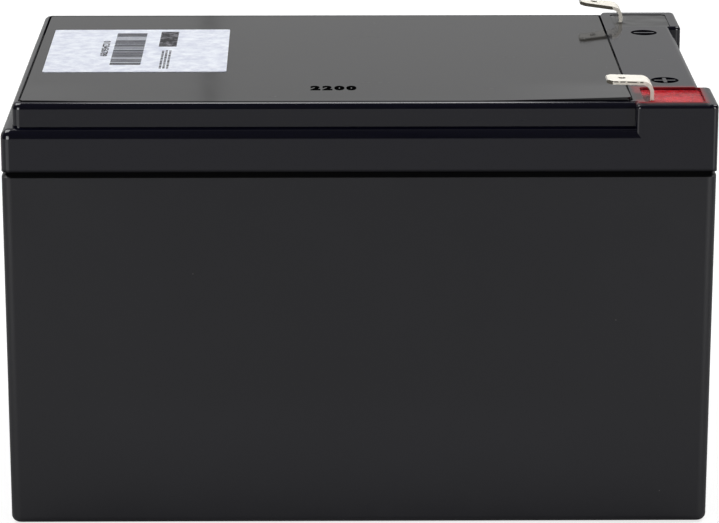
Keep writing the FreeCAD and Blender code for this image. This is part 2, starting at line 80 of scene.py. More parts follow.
def add(tree, kind, inputs=None, **settings):
    """Adds a node; inputs maps a socket to a constant or to another node's output."""
    node = tree.nodes.new("ShaderNode" + kind)
    for name, value in settings.items():
        setattr(node, name, value)
    for socket, value in (inputs or {}).items():
        if isinstance(value, bpy.types.NodeSocket):
            tree.links.new(value, node.inputs[socket])
        else:
            node.inputs[socket].default_value = value
    return node


def start_material(name):
    """An empty node material, with the point of the object in metres as its first output."""
    material = bpy.data.materials.new(name)
    material.use_nodes = True
    material.node_tree.nodes.clear()
    return material, add(material.node_tree, "TexCoord").outputs["Object"]


def per_mm(size):
    """The texture scale at which one cell of a pattern is this many millimetres long."""
    return 1.0 / (size * MM)


print("one millimetre grain has a texture scale of", per_mm(1.0))

# %% [markdown]
# ## The camera
#
# The picture looks at the long front side from a little above, with a long lens from about
# three quarters of a metre away. Place, turn and focal length were worked out from straight
# edges of the box, so they are written here as they were measured. The lens is given for
# Blender's 36 mm wide sensor and a picture of 719 by 523 pixels.

# %% Camera at the measured place
CAMERA_PLACE = (-7.66, -751.04, 255.12)
CAMERA_YAW = 0.628
CAMERA_PITCH = 15.616
CAMERA_ROLL = 0.047
PICTURE_WIDTH = 719
FOCAL_PIXELS = 3437.1

camera_data = bpy.data.cameras.new("camera")
camera_data.sensor_width = 36.0
camera_data.lens = FOCAL_PIXELS * camera_data.sensor_width / PICTURE_WIDTH
camera_data.clip_start = 0.05
camera_data.clip_end = 20.0
camera = bpy.data.objects.new("camera", camera_data)
bpy.context.collection.objects.link(camera)
camera.matrix_world = (
    Matrix.Translation(Vector(CAMERA_PLACE) * MM)
    @ Matrix.Rotation(math.radians(-CAMERA_YAW), 4, "Z")
    @ Matrix.Rotation(math.radians(90.0 - CAMERA_PITCH), 4, "X")
    @ Matrix.Rotation(math.radians(CAMERA_ROLL), 4, "Z")
)
bpy.context.scene.camera = camera
print("lens in mm:", round(camera_data.lens, 1))

# %% [markdown]
# ## Light
#
# Black plastic shows its surroundings more than its colour, so the light is planned from the
# reflections. The flat top mirrors what stands low behind the battery: a pale grey backdrop
# with one seam. The rounded front rim catches a narrow bright strip high behind, and then the
# dark space above the camera, which gives the rim its thin bright line over a black band. Two
# broad soft boxes stand to the left and right, where no long edge mirrors them, and light the
# label and the floor. A sky that changes smoothly with direction gives backdrop, strip and
# room. The camera itself sees the sky as plain white, and reflections see a small share of
# that white. A direction is a vector of length 1, so its Y says how far behind something
# stands and its X how far aside.

# %% Studio surroundings
scene = bpy.context.scene
scene.view_settings.view_transform = "Standard"
world = bpy.data.worlds.new("studio")
world.use_nodes = True
scene.world = world
sky = world.node_tree
sky.nodes.clear()
direction = add(sky, "SeparateXYZ", {0: add(sky, "TexCoord").outputs["Generated"]})
ROOM_LEVEL = 0.03
BACKDROP_LEVEL = 0.42
STRIP_LEVEL = 10.0
STRIP_CENTRE = -0.002
STRIP_HALF_WIDTH = 0.075
STRIP_FADE = 0.022
STRIP_TOP = (0.62, 0.46)
STRIP_FOOT = (0.31, 0.38)
BACKDROP_RANGE = (0.05, 0.55)
UPWARD_FROM = 0.3
SEAM_LEFT = 0.0335
SEAM_EDGES = (0.0005, 0.0035)
SEAM_DEPTH = 0.16
behind = add(sky, "MapRange", {0: direction.outputs["Y"], 1: BACKDROP_RANGE[0],
                               2: BACKDROP_RANGE[1], 3: 0.0, 4: 1.0},
             interpolation_type="SMOOTHSTEP")
backdrop = add(sky, "MapRange", {0: behind.outputs[0], 3: ROOM_LEVEL, 4: BACKDROP_LEVEL})

# The bright strip: a band of height that fades away to both sides
above = add(sky, "MapRange", {0: direction.outputs["Y"], 1: STRIP_TOP[0], 2: STRIP_TOP[1],
                              3: 0.0, 4: 1.0}, interpolation_type="SMOOTHSTEP")
below = add(sky, "MapRange", {0: direction.outputs["Y"], 1: STRIP_FOOT[0], 2: STRIP_FOOT[1],
                              3: 0.0, 4: 1.0}, interpolation_type="SMOOTHSTEP")
aside = add(sky, "Math", {0: direction.outputs["X"], 1: STRIP_CENTRE}, operation="SUBTRACT")
aside = add(sky, "Math", {0: aside.outputs[0]}, operation="ABSOLUTE")
middle = add(sky, "MapRange", {0: aside.outputs[0], 1: STRIP_HALF_WIDTH - STRIP_FADE,
                               2: STRIP_HALF_WIDTH, 3: 1.0, 4: 0.0},
             interpolation_type="SMOOTHSTEP")
upward = add(sky, "Math", {0: direction.outputs["Z"], 1: UPWARD_FROM},
             operation="GREATER_THAN")
strip = add(sky, "Math", {0: above.outputs[0], 1: below.outputs[0]}, operation="MULTIPLY")
strip = add(sky, "Math", {0: strip.outputs[0], 1: middle.outputs[0]}, operation="MULTIPLY")
strip = add(sky, "Math", {0: strip.outputs[0], 1: upward.outputs[0]}, operation="MULTIPLY")
level = add(sky, "Math", {0: strip.outputs[0], 1: STRIP_LEVEL, 2: backdrop.outputs[0]},
            operation="MULTIPLY_ADD")

# The seam: a soft upright line on the backdrop, a little left of the middle
lean = add(sky, "Math", {0: direction.outputs["X"], 1: direction.outputs["Y"]}, operation="DIVIDE")
from_seam = add(sky, "Math", {0: lean.outputs[0], 1: SEAM_LEFT}, operation="ADD")
from_seam = add(sky, "Math", {0: from_seam.outputs[0]}, operation="ABSOLUTE")
seam = add(sky, "MapRange", {0: from_seam.outputs[0], 1: SEAM_EDGES[0], 2: SEAM_EDGES[1],
                             3: SEAM_DEPTH, 4: 0.0}, interpolation_type="SMOOTHSTEP")
level = add(sky, "Math", {0: level.outputs[0], 1: seam.outputs[0]}, operation="SUBTRACT")
studio = add(sky, "Background", {"Color": (1.0, 1.0, 1.0, 1.0), "Strength": level.outputs[0]})
white = add(sky, "Background", {"Color": (1.0, 1.0, 1.0, 1.0), "Strength": 1.0})
ray = add(sky, "LightPath")
seen = add(sky, "Math", {0: ray.outputs["Is Camera Ray"], 1: ray.outputs["Is Transmission Ray"]},
           operation="MAXIMUM")
GLOSSY_SHARE = 0.04
seen_glossy = add(sky, "Math", {0: ray.outputs["Is Glossy Ray"], 1: GLOSSY_SHARE,
                                2: seen.outputs[0]},
                  operation="MULTIPLY_ADD", use_clamp=True)
both = add(sky, "MixShader", {0: seen_glossy.outputs[0], 1: studio.outputs[0],
                              2: white.outputs[0]})
add(sky, "OutputWorld", {"Surface": both.outputs[0]})
print("the sky is made of", len(sky.nodes), "nodes")

# %% [markdown]
# ## Lamps
#
# The lamps stand in pairs, left and right, and all aim at the middle of the battery's
# underside. Besides the two soft boxes, a weaker pair in front fills the front face, and a
# small pair close to its ends draws a faint line down the rounded corners. One loop makes all
# six, and the camera doesn't see them.

# %% Lamps in pairs
KEY_SIZE = (0.8, 0.8)
KEY_WATTS = 9.9
FILL_SIZE = (0.5, 0.4)
FILL_WATTS = 3.8
CARD_SIZE = (0.14, 0.10)
CARD_WATTS = 0.03
LAMPS = {"soft_box": (Vector((0.7, 0.3, 1.2)), KEY_SIZE, KEY_WATTS),
         "fill": (Vector((0.8, -0.95, 0.3)), FILL_SIZE, FILL_WATTS),
         "card": (Vector((0.22, -0.2, 0.03)), CARD_SIZE, CARD_WATTS)}
for kind, (right_place, size, watts) in LAMPS.items():
    for side, sign in (("left", -1.0), ("right", 1.0)):
        lamp_place = Vector((sign * right_place.x, right_place.y, right_place.z))
        lamp = bpy.data.lights.new(kind + "_" + side, "AREA")
        lamp.shape = "RECTANGLE"
        lamp.size, lamp.size_y = size
        lamp.energy = watts
        lamp_object = bpy.data.objects.new(lamp.name, lamp)
        bpy.context.collection.objects.link(lamp_object)
        lamp_object.location = lamp_place
        lamp_object.rotation_mode = "QUATERNION"
        lamp_object.rotation_quaternion = lamp_place.to_track_quat("Z", "Y")
        lamp_object.visible_camera = False
        print(lamp.name, "at a distance of", round(lamp_place.length, 2), "m")

# %% [markdown]
# ## A strip for the shade at the foot
#
# The battery shades the sheet just in front of it, and the jar would mirror that shade along
# its foot. A low strip that shines down on the sheet there weakens the shade. It is hidden
# from reflections, so that no glossy edge shows it.

# %% Low strip over the shaded sheet
FOOT_STRIP_PLACE = (0.0, -0.072, 0.03)
FOOT_STRIP_SIZE = (0.11, 0.02)
FOOT_STRIP_WATTS = 0.006
foot_lamp = bpy.data.lights.new("foot_strip", "AREA")
foot_lamp.shape = "RECTANGLE"
foot_lamp.size, foot_lamp.size_y = FOOT_STRIP_SIZE
foot_lamp.energy = FOOT_STRIP_WATTS
foot_strip = bpy.data.objects.new(foot_lamp.name, foot_lamp)
bpy.context.collection.objects.link(foot_strip)
foot_strip.location = FOOT_STRIP_PLACE
foot_strip.visible_camera = False
foot_strip.visible_glossy = False
print(foot_lamp.name, "at a height of", FOOT_STRIP_PLACE[2], "m")

# %% [markdown]
# ## The floor
#
# The battery stands on a pale sheet that runs out to pure white in the picture. The sheet
# keeps its own pale grey for the light that bounces off it, and adds just enough glow for
# the camera to turn white where nothing shades it. The shadow under the battery then stays
# visible. Reflections see a tenth of that glow, and diffuse light sees none of it.

# %% Pale floor
FLOOR_SIDE = 8.0
FLOOR_DROP = 0.05
floor_mesh = bpy.data.meshes.new("floor")
half_floor = FLOOR_SIDE / 2
floor_corners = ((-1, -1), (1, -1), (1, 1), (-1, 1))
floor_mesh.from_pydata([(x * half_floor, y * half_floor, 0.0) for x, y in floor_corners],
                       [], [(0, 1, 2, 3)])
floor = bpy.data.objects.new("floor", floor_mesh)
bpy.context.collection.objects.link(floor)
floor.location.z = -FLOOR_DROP * MM

floor_paper, _ = start_material("pale_paper_sheet")
tree = floor_paper.node_tree
ray = add(tree, "LightPath")
seen = add(tree, "Math", {0: ray.outputs["Is Camera Ray"], 1: ray.outputs["Is Transmission Ray"]},
           operation="MAXIMUM")
FLOOR_GLOSSY_SHARE = 0.10
seen_glossy = add(tree, "Math", {0: ray.outputs["Is Glossy Ray"], 1: FLOOR_GLOSSY_SHARE,
                                 2: seen.outputs[0]},
                  operation="MULTIPLY_ADD", use_clamp=True)
FLOOR_GLOW = 0.74
glow = add(tree, "Math", {0: seen_glossy.outputs[0], 1: FLOOR_GLOW}, operation="MULTIPLY")
sheet = add(tree, "BsdfDiffuse", {"Color": linear("#a8a8a8")})
shine = add(tree, "Emission", {"Color": (1.0, 1.0, 1.0, 1.0), "Strength": glow.outputs[0]})
total = add(tree, "AddShader", {0: sheet.outputs[0], 1: shine.outputs[0]})
add(tree, "OutputMaterial", {"Surface": total.outputs[0]})
floor_mesh.materials.append(floor_paper)
print("floor side in m:", FLOOR_SIDE)

# %% [markdown]
# ## Moulded ABS: the cover, the vent plate and the jar
#
# All three are black ABS, which owes its black to a little carbon, so its own colour is very
# dark and its IOR is about 1.54. Cover and plate come from a polished mould: they are glossy,
# with a faint waviness where the plastic shrank, hairline scratches from handling and a few
# dust specks. The jar comes from a spark-eroded mould, which leaves a fine even grain, so it
# is satin. One function can make both, because only the numbers differ. Scratches are noise
# stretched a hundredfold along one direction, and specks are the small centres of a Voronoi
# pattern of which only a few are kept.

# %% The moulded ABS material
ABS_IOR = 1.54


def moulded_abs(name, colour, pale_colour, roughness, rough_spread, grain_mm, grain_depth,
                wave_mm, wave_depth, scratches, specks):
    """Black ABS; depths are in millimetres, scratches and specks are strengths from 0 to 1."""
    material, place = start_material(name)
    tree = material.node_tree

    clouds = add(tree, "TexNoise", {"Vector": place, "Scale": per_mm(34.0), "Detail": 4.0,
                                    "Roughness": 0.6})
    handling = add(tree, "TexNoise", {"Vector": place, "Scale": per_mm(7.0), "Detail": 5.0,
                                      "Roughness": 0.65})
    tint = add(tree, "Mix", {0: clouds.outputs["Fac"], 6: linear(colour), 7: linear(pale_colour)},
               data_type="RGBA")

    # Hairlines run in two directions, each kept only where broad noise allows it
    lines = []
    for turn, seed in ((24.0, 0.0), (-61.0, 3.7)):
        turned = add(tree, "Mapping", {"Vector": place, "Location": (seed, seed, 0.0),
                                       "Rotation": (0.0, 0.0, math.radians(turn)),
                                       "Scale": (per_mm(60.0), per_mm(0.45), per_mm(0.45))})
        streak = add(tree, "TexNoise", {"Vector": turned.outputs[0], "Scale": 1.0, "Detail": 1.0})
        lines.append(add(tree, "MapRange", {0: streak.outputs["Fac"], 1: 0.70, 2: 0.76}))
    crossed = add(tree, "Math", {0: lines[0].outputs[0], 1: lines[1].outputs[0]},
                  operation="MAXIMUM")
    allowed = add(tree, "MapRange", {0: handling.outputs["Fac"], 1: 0.5, 2: 0.62})
    hairlines = add(tree, "Math", {0: crossed.outputs[0], 1: allowed.outputs[0]},
                    operation="MULTIPLY")

    # A speck of dust sits in about one cell in six
    cells = add(tree, "TexVoronoi", {"Vector": place, "Scale": per_mm(5.0)})
    core = add(tree, "MapRange", {0: cells.outputs["Distance"], 1: 0.035, 2: 0.02})
    chance = add(tree, "SeparateXYZ", {0: cells.outputs["Color"]})
    kept = add(tree, "Math", {0: chance.outputs["X"], 1: 0.84}, operation="GREATER_THAN")
    dust = add(tree, "Math", {0: core.outputs[0], 1: kept.outputs[0]}, operation="MULTIPLY")
    dust_share = add(tree, "Math", {0: dust.outputs[0], 1: specks}, operation="MULTIPLY")
    colour_now = add(tree, "Mix", {0: dust_share.outputs[0], 6: tint.outputs[2],
                                   7: linear("#8d8a84")}, data_type="RGBA")

    # Handled areas are duller, and so are scratches and dust
    dull = add(tree, "MapRange", {0: handling.outputs["Fac"], 1: 0.35, 2: 0.7,
                                  3: roughness - rough_spread, 4: roughness + rough_spread})
    dull = add(tree, "Math", {0: hairlines.outputs[0], 1: 0.2 * scratches, 2: dull.outputs[0]},
               operation="MULTIPLY_ADD")
    dull = add(tree, "Math", {0: dust_share.outputs[0], 1: 0.4, 2: dull.outputs[0]},
               operation="MULTIPLY_ADD", use_clamp=True)

    # Broad waviness, then grain, then scratches, each with its real depth
    wave = add(tree, "TexNoise", {"Vector": place, "Scale": per_mm(wave_mm), "Detail": 1.0})
    grain = add(tree, "TexNoise", {"Vector": place, "Scale": per_mm(grain_mm), "Detail": 2.0})
    relief = add(tree, "Bump", {"Strength": 1.0, "Distance": wave_depth * MM,
                                "Height": wave.outputs["Fac"]})
    relief = add(tree, "Bump", {"Strength": 1.0, "Distance": grain_depth * MM,
                                "Height": grain.outputs["Fac"], "Normal": relief.outputs[0]})
    relief = add(tree, "Bump", {"Strength": 0.5 * scratches, "Distance": 0.004 * MM,
                                "Height": hairlines.outputs[0], "Normal": relief.outputs[0]},
                 invert=True)
    surface = add(tree, "BsdfPrincipled", {"Base Color": colour_now.outputs[2], "IOR": ABS_IOR,
                                           "Roughness": dull.outputs[0],
                                           "Normal": relief.outputs[0]})
    add(tree, "OutputMaterial", {"Surface": surface.outputs[0]})
    return material


gloss_abs = moulded_abs("gloss_moulded_abs", "#070713", "#0b0b18", 0.09, 0.02, 1.2, 0.0004,
                        22.0, 0.010, 1.0, 0.6)
plate_abs = moulded_abs("plate_moulded_abs", "#0e0e11", "#131316", 0.08, 0.02, 1.0, 0.0005,
                        26.0, 0.008, 1.0, 0.8)
satin_abs = moulded_abs("satin_spark_textured_abs", "#0f0f15", "#16161c", 0.42, 0.05, 0.55, 0.012,
                        30.0, 0.012, 0.4, 0.5)


def dress(material, *names):
    """Gives CAD nodes one material in place of the plain one from model.glb."""
    for name in names:
        nodes[name].data.materials.clear()
        nodes[name].data.materials.append(material)
    print(material.name, "on", len(names), "pieces")


dress(gloss_abs, "cover")
dress(plate_abs, "vent_plate")
dress(satin_abs, "container")

# %% [markdown]
# ## The groove between jar and cover
#
# The chamfered rim of the jar and the cover above it leave a groove all round. The shade in
# that groove is painted: the chamfer is made black and smooth, with little gloss. The lowest
# edge of the cover gets painted shade towards the groove too, over less than a millimetre.
# Height alone tells these places from the rest, so each finish is mixed with a black one by height.

# %% Painted shade in the groove and on the cover's lowest edge
CHAMFER_FOOT = 77.15
CHAMFER_BLEND = 0.15
COVER_EDGE = 79.1
COVER_BLEND = -0.7


def before(surface, name):
    """What feeds a socket now: the output linked to it, or else its constant."""
    socket = surface.inputs[name]
    return socket.links[0].from_socket if socket.links else socket.default_value


def paint_shade_past(material, start, blend, shade_colour, gloss, roughness):
    """Paints shade onto a material past a height in millimetres, upward, or downward if blend is
    negative.
    """
    tree = material.node_tree
    height = add(tree, "SeparateXYZ", {0: add(tree, "TexCoord").outputs["Object"]})
    share = add(tree, "MapRange", {0: height.outputs["Z"], 1: start * MM, 2: (start + blend) * MM})
    surface = next(n for n in tree.nodes if n.type == "BSDF_PRINCIPLED")
    painted_shade_colour = add(tree, "Mix", {0: share.outputs[0], 6: before(surface, "Base Color"),
                                  7: linear(shade_colour)}, data_type="RGBA")
    smoothed = add(tree, "MapRange", {0: share.outputs[0], 3: before(surface, "Roughness"),
                                      4: roughness})
    sheen = add(tree, "MapRange", {0: share.outputs[0], 3: before(surface, "Specular IOR Level"),
                                   4: gloss})
    tree.links.new(painted_shade_colour.outputs[2], surface.inputs["Base Color"])
    tree.links.new(smoothed.outputs[0], surface.inputs["Roughness"])
    tree.links.new(sheen.outputs[0], surface.inputs["Specular IOR Level"])
    print(material.name, "darkens from", start, "to", round(start + blend, 2), "mm")


# Painted shade in the groove: the jar's chamfer is blackened and loses most of its gloss.
paint_shade_past(satin_abs, CHAMFER_FOOT, CHAMFER_BLEND, "#0b0b0c", 0.25, 0.35)
# Painted shade along the cover's lowest edge, where a rounded edge would turn dark, darkening
# downward into the groove.
paint_shade_past(gloss_abs, COVER_EDGE, COVER_BLEND, "#030304", 0.03, 0.3)

# %% [markdown]
# ## Tin-plated brass: the push-on tabs
#
# The tabs are stamped from brass strip that was tinned before stamping. Tin is a pale,
# slightly warm metal with fine rolling lines along the strip. Handling has dulled the outer
# faces, while the inner ones, which face down or towards the tip, are still bright. Shearing
# drags the tin over the cut edges, which stay pale but chalky. The edge is bare and dull along
# the blade of the negative tab and at the cut corners of both tips, and a thin broken line
# along the upper arris of the positive blade is given the same darker colour. The sides of the
# strip face along Y, so the normal of the surface tells sheared edges from tinned faces, and a
# corner cut turns the normal half way.

# %% Tinned strip with sheared edges
BLADES_UNTIL_X = 60.0
ARRIS_LINE_RISE = 0.0262
ARRIS_LINE_FROM = 97.72
ARRIS_LINE_TO = 97.98
ARRIS_LINE_UNBROKEN = 0.44
SHEARED_NORMAL = (0.58, 0.66)
CORNER_CUT_NORMAL = 0.85
INNER_NORMAL = (-0.3, -0.7)
INNER_SMOOTHER = -0.46
tinned_brass, place = start_material("tinned_brass_strip")
tree = tinned_brass.node_tree
rolled = add(tree, "Mapping", {"Vector": place, "Scale": (per_mm(9.0), per_mm(0.18),
                                                          per_mm(9.0))})
rolling = add(tree, "TexNoise", {"Vector": rolled.outputs[0], "Scale": 1.0, "Detail": 3.0})
smudges = add(tree, "TexNoise", {"Vector": place, "Scale": per_mm(2.2), "Detail": 4.0,
                                 "Roughness": 0.6})
tin = add(tree, "Mix", {0: smudges.outputs["Fac"], 6: linear("#fcfaf4"), 7: linear("#f1ece1")},
          data_type="RGBA")
facing = add(tree, "SeparateXYZ", {0: add(tree, "TexCoord").outputs["Normal"]})
sideways = add(tree, "Math", {0: facing.outputs["Y"]}, operation="ABSOLUTE")
sheared = add(tree, "MapRange", {0: sideways.outputs[0], 1: SHEARED_NORMAL[0],
                                 2: SHEARED_NORMAL[1]})
torn = add(tree, "TexNoise", {"Vector": place, "Scale": per_mm(0.4), "Detail": 3.0})
dragged = add(tree, "Mix", {0: torn.outputs["Fac"], 6: linear("#efe8da"), 7: linear("#faf5ea")},
              data_type="RGBA")
bare = add(tree, "Mix", {0: torn.outputs["Fac"], 6: linear("#46423a"), 7: linear("#7a7467")},
           data_type="RGBA")
spot = add(tree, "SeparateXYZ", {0: place})
negative_side = add(tree, "Math", {0: spot.outputs["Y"], 1: 0.0}, operation="GREATER_THAN")
corner_cut = add(tree, "Math", {0: sideways.outputs[0], 1: CORNER_CUT_NORMAL},
                 operation="LESS_THAN")
blade = add(tree, "Math", {0: spot.outputs["X"], 1: BLADES_UNTIL_X * MM}, operation="LESS_THAN")

# A thin broken darker line runs along the upper arris of the positive blade, which rises to its tip
along = add(tree, "Math", {0: spot.outputs["X"], 1: ARRIS_LINE_RISE, 2: spot.outputs["Z"]},
            operation="MULTIPLY_ADD")
arris_line_low = add(tree, "Math", {0: along.outputs[0], 1: ARRIS_LINE_FROM * MM}, operation="GREATER_THAN")
arris_line_high = add(tree, "Math", {0: along.outputs[0], 1: ARRIS_LINE_TO * MM}, operation="LESS_THAN")
breaks = add(tree, "TexNoise", {"Vector": place, "Scale": per_mm(1.3), "Detail": 2.0})
unbroken = add(tree, "Math", {0: breaks.outputs["Fac"], 1: ARRIS_LINE_UNBROKEN},
               operation="GREATER_THAN")
arris_line = add(tree, "Math", {0: arris_line_low.outputs[0], 1: arris_line_high.outputs[0]}, operation="MULTIPLY")
arris_line = add(tree, "Math", {0: arris_line.outputs[0], 1: unbroken.outputs[0]}, operation="MULTIPLY")

bare_share = add(tree, "Math", {0: negative_side.outputs[0], 1: corner_cut.outputs[0]},
                 operation="MAXIMUM")
bare_share = add(tree, "Math", {0: bare_share.outputs[0], 1: arris_line.outputs[0]},
                 operation="MAXIMUM")
dull_share = add(tree, "Math", {0: bare_share.outputs[0], 1: blade.outputs[0]},
                 operation="MULTIPLY")
brass = add(tree, "Mix", {0: dull_share.outputs[0], 6: dragged.outputs[2], 7: bare.outputs[2]},
            data_type="RGBA")
strip_colour = add(tree, "Mix", {0: sheared.outputs[0], 6: tin.outputs[2], 7: brass.outputs[2]},
                   data_type="RGBA")
strip_rough = add(tree, "MapRange", {0: rolling.outputs["Fac"], 1: 0.3, 2: 0.7, 3: 0.56, 4: 0.70})
inward = add(tree, "Math", {0: facing.outputs["Z"], 1: facing.outputs["X"]},
             operation="MINIMUM")
bright = add(tree, "MapRange", {0: inward.outputs[0], 1: INNER_NORMAL[0], 2: INNER_NORMAL[1],
                                3: 0.0, 4: INNER_SMOOTHER})
rough = add(tree, "Math", {0: strip_rough.outputs[0], 1: bright.outputs[0]})
rough = add(tree, "Math", {0: sheared.outputs[0], 1: 0.2, 2: rough.outputs[0]},
            operation="MULTIPLY_ADD")
relief = add(tree, "Bump", {"Strength": 0.6, "Distance": 0.006 * MM,
                            "Height": rolling.outputs["Fac"]})
relief = add(tree, "Bump", {"Strength": 0.5, "Distance": 0.02 * MM,
                            "Height": smudges.outputs["Fac"], "Normal": relief.outputs[0]})
oxide = add(tree, "MapRange", {0: sheared.outputs[0], 3: 1.0, 4: 0.0})
metal = add(tree, "BsdfPrincipled", {"Base Color": strip_colour.outputs[2],
                                     "Metallic": oxide.outputs[0],
                                     "Roughness": rough.outputs[0], "Normal": relief.outputs[0]})
add(tree, "OutputMaterial", {"Surface": metal.outputs[0]})
dress(tinned_brass, "positive_tab", "negative_tab")

# %% [markdown]
# ## Potting resin in the two wells
#
# Each well is filled by hand with epoxy, red for plus and black for minus. Liquid resin
# creeps up the walls and up the tab before it sets, so its surface is a shallow dish. The
# CAD solid is flat there. A thin cap of mesh, whose upper face follows that creep, gives the
# real outline: a grid over the well whose corners are pulled onto the corner arcs, raised
# near the walls and near the tab. Its sides are shaded flat, so its rim stays an edge.

# %% Resin caps over the wells
WELL_CORNER = 1.0
CREEP_HEIGHT = 0.08
CREEP_REACH = 0.5
TAB_CREEP_HEIGHT = 0.3
TAB_CREEP_REACH = 0.7
CAP_DEPTH = 0.3
CAP_LIFT = 0.07
CAP_SWELL = 0.05
CAP_SWELL_LENGTH = 4.0
CAP_STEPS = (48, 54)


def into_rounded_corner(x, y, half_x, half_y, radius):
    """Moves a point of a rectangle that lies outside its corner arcs onto the arc."""
    over_x = abs(x) - (half_x - radius)
    over_y = abs(y) - (half_y - radius)
    if over_x <= 0 or over_y <= 0:
        return x, y
    reach = math.hypot(over_x, over_y)
    square = max(over_x, over_y)
    shrink = square / reach
    return (math.copysign(half_x - radius + over_x * shrink, x),
            math.copysign(half_y - radius + over_y * shrink, y))


def tree_of(node):
    """A search tree over a node's faces, for looking along straight lines."""
    mesh = nodes[node].data
    return BVHTree.FromPolygons([v.co for v in mesh.vertices],
                                [tuple(p.vertices) for p in mesh.polygons])


def upright_of(tab_node, height):
    """The X of both faces of the tab's upright strip at a height, in millimetres."""
    tab_low, tab_high = (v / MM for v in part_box(tab_node))
    middle = (tab_low.y + tab_high.y) / 2
    tree = tree_of(tab_node)
    faces = []
    for start_x, toward in ((tab_low.x - 1.0, 1), (tab_high.x + 1.0, -1)):
        hit = tree.ray_cast(Vector((start_x, middle, height)) * MM, Vector((toward, 0, 0)))[0]
        faces.append(hit.x / MM)
    return faces


def resin_cap(name, well_node, tab_node):
    """A thin cap over the flat CAD resin, dished as the poured resin is."""
    low, high = (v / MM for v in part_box(well_node))
    tab_low, tab_high = (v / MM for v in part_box(tab_node))
    centre = (low + high) / 2
    half_x, half_y = (high.x - low.x) / 2, (high.y - low.y) / 2
    upright = upright_of(tab_node, high.z + CREEP_HEIGHT)
    steps_x, steps_y = CAP_STEPS
    top, bottom = [], []
    for i in range(steps_x + 1):
        for j in range(steps_y + 1):
            x = half_x * (2 * i / steps_x - 1)
            y = half_y * (2 * j / steps_y - 1)
            x, y = into_rounded_corner(x, y, half_x, half_y, WELL_CORNER)
            wall = min(half_x - abs(x), half_y - abs(y))
            px, py = centre.x + x, centre.y + y
            beside_x = max(upright[0] - px, px - upright[1], 0.0)
            beside_y = max(tab_low.y - py, py - tab_high.y, 0.0)
            creep = CREEP_HEIGHT * math.exp(-wall / CREEP_REACH)
            creep += TAB_CREEP_HEIGHT * math.exp(-math.hypot(beside_x, beside_y) / TAB_CREEP_REACH)
            swell = CAP_SWELL * noise.noise(Vector((px, py, 0.0)) / CAP_SWELL_LENGTH)
            z = high.z + CAP_LIFT + swell + min(creep, TAB_CREEP_HEIGHT)
            top.append((px * MM, py * MM, z * MM))
            bottom.append((px * MM, py * MM, (high.z - CAP_DEPTH) * MM))
    row = steps_y + 1
    count = len(top)
    faces = []
    for i in range(steps_x):
        for j in range(steps_y):
            a, b, c, d = i * row + j, (i + 1) * row + j, (i + 1) * row + j + 1, i * row + j + 1
            faces.append((a, b, c, d))
            faces.append((d + count, c + count, b + count, a + count))
    rim = ([i * row for i in range(steps_x + 1)]
           + [steps_x * row + j for j in range(1, steps_y + 1)]
           + [i * row + steps_y for i in range(steps_x - 1, -1, -1)]
           + [j for j in range(steps_y - 1, 0, -1)])
    for a, b in zip(rim, rim[1:] + rim[:1]):
        faces.append((b, a, a + count, b + count))
    mesh = bpy.data.meshes.new(name)
    mesh.from_pydata(top + bottom, [], faces)
    smooth_count = 2 * steps_x * steps_y
    smooth = [k < smooth_count for k in range(len(mesh.polygons))]
    mesh.polygons.foreach_set("use_smooth", smooth)
    cap = bpy.data.objects.new(name, mesh)
    bpy.context.collection.objects.link(cap)
    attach(cap, "root")
    return cap


red_cap = resin_cap("positive_resin_surface", "positive_terminal_epoxy", "positive_tab")
black_cap = resin_cap("negative_resin_surface", "negative_terminal_epoxy", "negative_tab")
print("resin caps have", len(red_cap.data.polygons), "faces each")

# %% [markdown]
# ## The look of cured epoxy
#
# Cured epoxy is glassy, with an IOR of about 1.55. The red one is loaded with pigment but
# still lets light in a little way, which subsurface scattering gives. It is a little paler in
# some streaks, where the pigment was stirred in less well. Its skin has dulled, so its
# reflection is set well below that of fresh epoxy. The black one only needs its gloss.

# %% Red and black epoxy
SUBSURFACE_REACH = 1.4


def poured_epoxy(name, deep, pale, roughness, inner_glow, gloss):
    """Cured resin in two streaky colours; inner_glow is its share of light from within."""
    material, place = start_material(name)
    tree = material.node_tree
    streaks = add(tree, "TexNoise", {"Vector": place, "Scale": per_mm(5.0), "Detail": 4.0,
                                     "Distortion": 0.6})
    share = add(tree, "MapRange", {0: streaks.outputs["Fac"], 1: 0.35, 2: 0.65})
    colour = add(tree, "Mix", {0: share.outputs[0], 6: linear(deep), 7: linear(pale)},
                 data_type="RGBA")
    skin = add(tree, "TexNoise", {"Vector": place, "Scale": per_mm(3.0), "Detail": 2.0})
    rough = add(tree, "MapRange", {0: skin.outputs["Fac"], 1: 0.3, 2: 0.7,
                                   3: roughness * 0.7, 4: roughness * 1.3})
    relief = add(tree, "Bump", {"Strength": 0.4, "Distance": 0.02 * MM,
                                "Height": skin.outputs["Fac"]})
    surface = add(tree, "BsdfPrincipled", {"Base Color": colour.outputs[2], "IOR": 1.55,
                                           "Roughness": rough.outputs[0],
                                           "Specular IOR Level": gloss,
                                           "Subsurface Weight": inner_glow,
                                           "Subsurface Radius": (1.0, 0.15, 0.15),
                                           "Subsurface Scale": SUBSURFACE_REACH * MM,
                                           "Normal": relief.outputs[0]})
    add(tree, "OutputMaterial", {"Surface": surface.outputs[0]})
    return material


red_epoxy = poured_epoxy("red_potting_epoxy", "#a4222b", "#c82e38", 0.26, 0.6, 0.15)
black_epoxy = poured_epoxy("black_potting_epoxy", "#151516", "#1b1b1d", 0.12, 0.0, 0.5)
dress(red_epoxy, "positive_terminal_epoxy")
dress(black_epoxy, "negative_terminal_epoxy")
red_cap.data.materials.append(red_epoxy)
black_cap.data.materials.append(black_epoxy)

